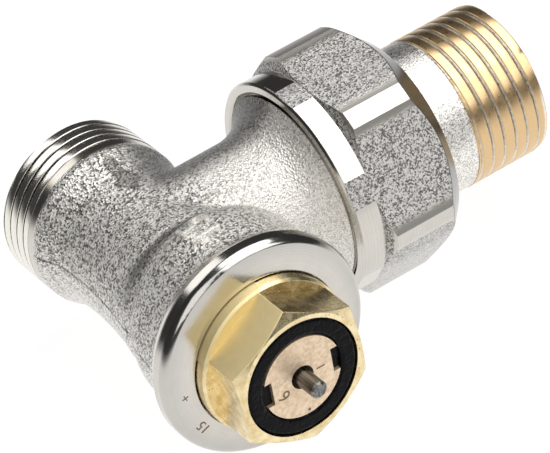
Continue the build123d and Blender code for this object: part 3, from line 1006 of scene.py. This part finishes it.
def dress(names: tuple[str, ...], material: Material) -> None:
    """Gives CAD nodes their material.

    Args:
        names: names of the nodes.
        material: finish that they get.
    """
    for name in names:
        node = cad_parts[name]
        node.data.materials.clear()
        node.data.materials.append(material)
        log.info("node %s wears %s", name, material.name)


@dataclass(frozen=True)
class HelicalThread:
    """Right-hand thread ridge, cut flat at both ends, on a core of the solid."""

    name: str
    axis: Axis
    start: float
    stop: float
    crest: float
    core: float
    pitch: float
    flank_deg: float
    crest_width: float
    crest_round: float
    sink: float
    lead: float = 0.18 * MM
    round_steps: int = 3
    spare_turns: int = 3
    steps: int = 96

    def section(self) -> Piece:
        """Shapes one tooth standing above the axis.

        Returns:
            An outline of the tooth, without a face.
        """
        depth = self.crest - self.core
        middle = (self.crest + self.core) / 2
        begin = self.start - self.spare_turns / 2 * self.pitch
        root = self.crest_width + 2 * depth * math.tan(math.radians(self.flank_deg))
        low = self.core - self.sink
        Bench.clear()
        bpy.ops.mesh.primitive_plane_add(size=MM, rotation=(math.pi / 2, 0, 0))
        tooth = bpy.context.object
        Bench.freeze()
        Bench.edit()
        bpy.ops.transform.resize(value=(root / MM, 1, depth / MM), center_override=(0, 0, 0))
        bpy.ops.transform.translate(value=(begin, 0, middle))
        Bench.pick_above(tooth, middle)
        bpy.ops.transform.resize(value=(self.crest_width / root, 1, 1),
                                 center_override=(begin, 0, self.crest))
        bpy.ops.mesh.bevel(offset=self.crest_round, segments=self.round_steps, affect="VERTICES")
        bpy.ops.mesh.select_all(action="INVERT")
        bpy.ops.mesh.extrude_region_move(TRANSFORM_OT_translate={"value": (0, 0, low - self.core)})
        bpy.ops.mesh.select_all(action="SELECT")
        bpy.ops.mesh.delete(type="ONLY_FACE")
        bpy.ops.object.mode_set(mode="OBJECT")
        return tooth

    def drop_inner_line(self, tooth: Piece) -> None:
        """Takes out the line across the tooth at core height.

        Args:
            tooth: outline that is left as one closed loop.
        """
        mesh = bmesh.new()
        mesh.from_mesh(tooth.data)
        inner = [edge for edge in mesh.edges
                 if all(abs(vertex.co.z - self.core) < HAIR for vertex in edge.verts)]
        bmesh.ops.delete(mesh, geom=inner, context="EDGES")
        mesh.to_mesh(tooth.data)
        mesh.free()

    def build(self, material: Material) -> None:
        """Winds the tooth into a thread and cuts it to length.

        Args:
            material: finish of the thread.
        """
        ridge = self.section()
        self.drop_inner_line(ridge)
        turns = math.ceil((self.stop - self.start) / self.pitch) + self.spare_turns
        Bench.modify(ridge, "SCREW", axis="X", angle=2 * math.pi, screw_offset=self.pitch, iterations=turns,
                     steps=self.steps, render_steps=self.steps, use_merge_vertices=False)
        Bench.edit()
        for place, first in ((self.start, True), (self.stop, False)):
            bpy.ops.mesh.select_all(action="SELECT")
            bpy.ops.mesh.bisect(plane_co=(place, 0, 0), plane_no=(1, 0, 0), use_fill=True,
                                clear_inner=first, clear_outer=not first, threshold=HAIR)
        Bench.outward()
        for vertex in ridge.data.vertices:
            limit = min(self.crest, self.crest - self.lead + self.stop - vertex.co.x)
            keep = min(1.0, limit / math.hypot(vertex.co.y, vertex.co.z))
            vertex.co.y *= keep
            vertex.co.z *= keep
        Bench.smooth(ridge, SHARP_DEG)
        if self.axis is Axis.INLET:
            ridge.rotation_euler = (0, 0, math.pi / 2)
        slot = Slot.NICKEL if self.axis is Axis.INLET else Slot.BRASS
        Bench.settle(ridge, self.name, Carrier.BODY, slot)
        ridge.data.materials.append(material)


@dataclass(frozen=True)
class StampedFace:
    """Face that looks along -Y and takes stamped signs."""

    at: float
    carrier: Carrier
    slot: Slot
    lean_deg: float = 0.0


@dataclass
class FaceMark:
    """Plain sign on a stamped face."""

    name: str
    sign: str
    x: float
    z: float
    turn_deg: float
    height: float
    face: StampedFace
    thick: float = 0.06 * MM
    steps: int = 4

    def build(self, material: Material) -> None:
        """Cuts the sign out of a thin sheet and lays it on the face.

        Args:
            material: finish of the sign.
        """
        mark = Bench.letter(self.sign, self.height, self.steps)
        Bench.modify(mark, "SOLIDIFY", thickness=self.thick, offset=0.0)
        Bench.edit()
        Bench.outward()
        mark.location = (self.x, self.face.at, self.z)
        upright = Matrix.Rotation(math.pi / 2, 4, "X")
        turn = Matrix.Rotation(math.radians(self.turn_deg), 4, "Z")
        out = Vector((self.x, 0, self.z)).normalized()
        lean = Matrix.Rotation(math.radians(self.face.lean_deg), 4, Vector((-out.z, 0, out.x)))
        mark.rotation_euler = (lean @ (upright @ turn)).to_euler()
        mark.data.materials.append(material)
        Bench.settle(mark, self.name, self.face.carrier, self.face.slot)


@dataclass
class RaisedSize:
    """Nominal pipe size, raised on the casting's top."""

    name: str = "raised_size"
    sign: str = "15"
    x: float = -0.4 * MM
    y: float = -13.6 * MM
    above: float = 30.0 * MM
    height: float = 6.0 * MM
    turn_deg: float = 90.0
    stand: float = 0.6 * MM
    thick: float = 1.0 * MM
    slope: float = 0.22 * MM
    slope_deg: float = 50.0
    slope_steps: int = 2
    steps: int = 6
    strips: int = 14

    def build(self, material: Material) -> None:
        """Lays the sign over the curved casting.

        Args:
            material: finish of the sign.
        """
        sign = Bench.letter(self.sign, self.height, self.steps)
        sign.location = (self.x, self.y, self.above)
        sign.rotation_euler = (0, 0, math.radians(self.turn_deg))
        Bench.freeze()
        Bench.edit()
        low, high = (Vector(corner) for corner in (sign.bound_box[0], sign.bound_box[6]))
        for cut in range(1, self.strips):
            place = low.lerp(high, cut / self.strips)
            for way in ((1, 0, 0), (0, 1, 0)):
                bpy.ops.mesh.select_all(action="SELECT")
                bpy.ops.mesh.bisect(plane_co=place, plane_no=way, threshold=HAIR)
        Bench.outward()
        Bench.modify(sign, "SHRINKWRAP", target=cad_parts["valve_body"], wrap_method="PROJECT",
                     use_project_z=True, use_negative_direction=True, use_positive_direction=False,
                     offset=self.stand)
        Bench.modify(sign, "SOLIDIFY", thickness=self.thick, offset=-1.0)
        Bench.edit()
        Bench.outward()
        Bench.modify(sign, "BEVEL", width=self.slope, segments=self.slope_steps, limit_method="ANGLE",
                     angle_limit=math.radians(self.slope_deg))
        Bench.smooth(sign, SHARP_DEG)
        sign.data.materials.append(material)
        Bench.settle(sign, self.name, Carrier.BODY, Slot.NICKEL)


@dataclass
class ReturnCoil:
    """Return spring of the pin, which the pin presses shorter on the real valve; the coil here is wound at
    one length.
    """

    name: str = "return_coil"
    wire: float = 0.7 * MM
    radius: float = 2.65 * MM
    turns: int = 6
    pin_end: float = -20.0 * MM
    fixed_end: float = -10.5 * MM
    stroke: float = 2.55 * MM
    sharp_deg: float = 50.0
    sides: int = 12
    steps: int = 32

    def build(self, material: Material) -> None:
        """Winds the wire and sets it in place of the stiff spring.

        Args:
            material: finish of the wire.
        """
        length = self.fixed_end - self.pin_end
        Bench.clear()
        bpy.ops.mesh.primitive_circle_add(vertices=self.sides, radius=self.wire / 2,
                                          location=(self.radius, self.fixed_end - self.wire / 2, 0))
        coil = bpy.context.object
        Bench.freeze()
        Bench.modify(coil, "SCREW", axis="Y", angle=2 * math.pi, iterations=self.turns,
                     screw_offset=(self.wire - length) / self.turns, steps=self.steps,
                     render_steps=self.steps)
        Bench.edit()
        bpy.ops.mesh.fill_holes(sides=0)
        Bench.outward()
        Bench.smooth(coil, self.sharp_deg)
        coil.data.materials.append(material)
        Bench.settle(coil, self.name, Carrier.PRESET, Slot.STEEL)
        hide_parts("return_spring")
        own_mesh(coil)


@dataclass
class ValveBody:
    """Casting with its inlet thread and raised size."""

    thread: HelicalThread = HelicalThread(
        "inlet_thread_ridge", Axis.INLET, start=13.3 * MM, stop=19.29 * MM, crest=11.04 * MM, core=10.65 * MM,
        pitch=1.5 * MM, flank_deg=26.0, crest_width=1.08 * MM, crest_round=0.03 * MM, sink=0.75 * MM)
    # The inlet's near-black groove colour is painted shade on the thread's flanks and roots.
    finish: ThreadFinish = ThreadFinish(
        "inlet_thread_nickel", Axis.INLET, groove=(0.07, 0.066, 0.06), crest=(0.84, 0.81, 0.74),
        crest_edge=(10.94 * MM, 10.99 * MM), end=(19.14 * MM, 19.19 * MM), rough=(0.10, 0.28))

    def build(self) -> None:
        """Dresses the casting and adds what stands out of it."""
        dress(("valve_body",), BodyFinish().material())
        self.thread.build(self.finish.material())
        RaisedSize().build(RaisedSignHighlight().material())


@dataclass
class Union:
    """Nut and tail, with the tail's thread."""

    thread: HelicalThread = HelicalThread(
        "tail_thread_ridge", Axis.TAIL, start=42.1 * MM, stop=53.04 * MM, crest=10.48 * MM, core=10.1 * MM,
        pitch=1.814 * MM, flank_deg=27.5, crest_width=1.3 * MM, crest_round=0.1 * MM, sink=1.1 * MM)
    finish: ThreadFinish = ThreadFinish(
        "tail_thread_brass", Axis.TAIL, groove=(0.95, 0.92, 0.86), crest=(0.74, 0.52, 0.28),
        crest_edge=(10.38 * MM, 10.43 * MM), end=(52.89 * MM, 52.94 * MM), rough=(0.21, 0.39))

    def build(self) -> None:
        """Dresses nut and tail and winds the tail's thread."""
        dress(("union_nut",), NutFinish().material())
        dress(("union_tail",), TailFinish().material())
        self.thread.build(self.finish.material())


@dataclass
class PresetInsert:
    """Hexagon insert with its black ring, dial and pin."""

    dial: StampedFace = StampedFace(-31.2 * MM, Carrier.PRESET, Slot.BRASS)
    collar: StampedFace = StampedFace(-23.555 * MM, Carrier.BODY, Slot.NICKEL, lean_deg=9.10)

    def build(self) -> None:
        """Dresses the insert and puts the signs on its faces."""
        dress(("insert_housing",), TurnedBrass().material())
        dress(("preset_spindle",), DialBrass().material())
        black = PlainFinish("moulded_black", (0.003, 0.003, 0.004), (0.005, 0.005, 0.006),
                            rough=(0.06, 0.22), ripple=0.16 * MM, gloss=0.08)
        dress(("setting_ring",), black.material())
        steel = PlainFinish("drawn_steel", (0.11, 0.108, 0.10), (0.27, 0.265, 0.255), rough=(0.24, 0.40),
                            ripple=0.006 * MM, contrast=(0.35, 0.65), cloud=0.3 * MM,
                            stretch=(1.0, 0.08, 1.0), metal=1.0).material()
        dress(("steel_pin", "spindle_circlip", "return_spring", "spring_cap", "stem_clip",
               "disc_screw"), steel)
        ReturnCoil().build(steel)
        stamp_floor = StampFloorTone().material()
        for mark in (
            FaceMark("dial_dot", ".", 0.07 * MM, -4.2 * MM, 0.0, 3.4 * MM, self.dial),
            FaceMark("collar_tick", "+", -12.06 * MM, -0.67 * MM, 20.0, 1.8 * MM, self.collar),
            FaceMark("collar_size", "15", -10.5 * MM, -6.05 * MM, 120.0, 1.9 * MM, self.collar),
            FaceMark("dial_one", "1", 2.6 * MM, 0.06 * MM, -90.0, 1.7 * MM, self.dial),
            FaceMark("dial_six", "6", -2.86 * MM, -1.23 * MM, 113.0, 2.5 * MM, self.dial),
        ):
            mark.build(stamp_floor)


@dataclass
class InnerParts:
    """Small parts inside the valve that only a cut or a taken-apart view shows."""

    def build(self) -> None:
        """Dresses the inner parts."""
        inner = TurnedBrass(name="inner_brass", rough=(0.26, 0.44))
        dress(("gland_bush", "valve_stem", "disc_washer"), inner.material())
        pale = PlainFinish("pale_plastic", (0.72, 0.70, 0.63), (0.80, 0.78, 0.72), rough=(0.44, 0.60),
                           ripple=0.01 * MM)
        dress(("throttle_sleeve", "stem_guide", "nut_slip_ring"), pale.material())
        rubber = PlainFinish("black_rubber", (0.016, 0.016, 0.016), (0.03, 0.03, 0.03),
                             rough=(0.54, 0.70), ripple=0.01 * MM)
        dress(("tail_oring", "housing_oring", "spindle_oring", "pin_oring_inner", "pin_oring_outer",
               "valve_disc"), rubber.material())


@dataclass
class Studio:
    """White floor, soft lights and the camera of the photograph."""

    camera_at: Colour = (-0.20058, -0.40599, 0.34195)
    camera_turn_deg: Colour = (52.5815255, 8.89710859, -34.93292142)
    lens: float = 298.88
    sensor: float = 36.0
    clip: Ramp = (0.01, 20.0)
    surround: float = 0.04
    floor_reach: float = 6.0

    def floor(self) -> None:
        """Lays the floor under the lowest point of the valve."""
        low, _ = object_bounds()
        Bench.clear()
        bpy.ops.mesh.primitive_plane_add(size=self.floor_reach, location=(0, 0, low.z))
        floor = bpy.context.object
        floor.name = "studio_floor"
        floor.data.materials.append(PaleFloor().material())
        floor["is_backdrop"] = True

    def lamp(self, name: str, place: Colour, size: float, power: float) -> None:
        """Hangs one soft square lamp that looks at the valve.

        Args:
            name: name of the lamp.
            place: where it hangs, in metres.
            size: width of the square in metres.
            power: light in watts.
        """
        light = bpy.data.lights.new(name, "AREA")
        light.shape = "SQUARE"
        light.size = size
        light.energy = power
        lamp = bpy.data.objects.new(name, light)
        lamp.location = place
        lamp.rotation_mode = "QUATERNION"
        lamp.rotation_quaternion = Vector(place).to_track_quat("Z", "Y")
        bpy.context.scene.collection.objects.link(lamp)

    def camera(self) -> None:
        """Sets the camera where the photograph was taken from."""
        data = bpy.data.cameras.new("photo_camera")
        data.lens = self.lens
        data.sensor_width = self.sensor
        data.clip_start, data.clip_end = self.clip
        camera = bpy.data.objects.new("photo_camera", data)
        camera.location = self.camera_at
        camera.rotation_euler = tuple(math.radians(turn) for turn in self.camera_turn_deg)
        bpy.context.scene.collection.objects.link(camera)
        bpy.context.scene.camera = camera

    def build(self) -> None:
        """Sets up floor, surround, lamps and camera."""
        self.floor()
        world = bpy.data.worlds.new("studio")
        world.use_nodes = True
        light = world.node_tree.nodes["Background"].inputs
        light["Color"].default_value = (1.0, 1.0, 1.0, 1.0)
        light["Strength"].default_value = self.surround
        bpy.context.scene.world = world
        self.lamp("overhead", (0.21, 0.0, 0.52), 0.5, 2.3)
        self.lamp("front_top", (0.21, -0.364, 0.37), 0.42, 1.2)
        self.lamp("camera_card", (-0.36, -0.5, 0.48), 0.6, 1.5)
        self.lamp("back_left", (-0.09, 0.4, 0.38), 0.3, 0.45)
        self.camera()
        bpy.context.scene.view_settings.view_transform = "Standard"


def main() -> None:
    """Builds the valve and its studio."""
    logging.basicConfig(level=logging.INFO, format="%(message)s")
    for assembly in (ValveBody(), Union(), PresetInsert(), InnerParts()):
        log.info("building %s", type(assembly).__name__)
        assembly.build()
    Studio().build()
    bpy.context.view_layer.update()


if __name__ == "__main__":
    main()
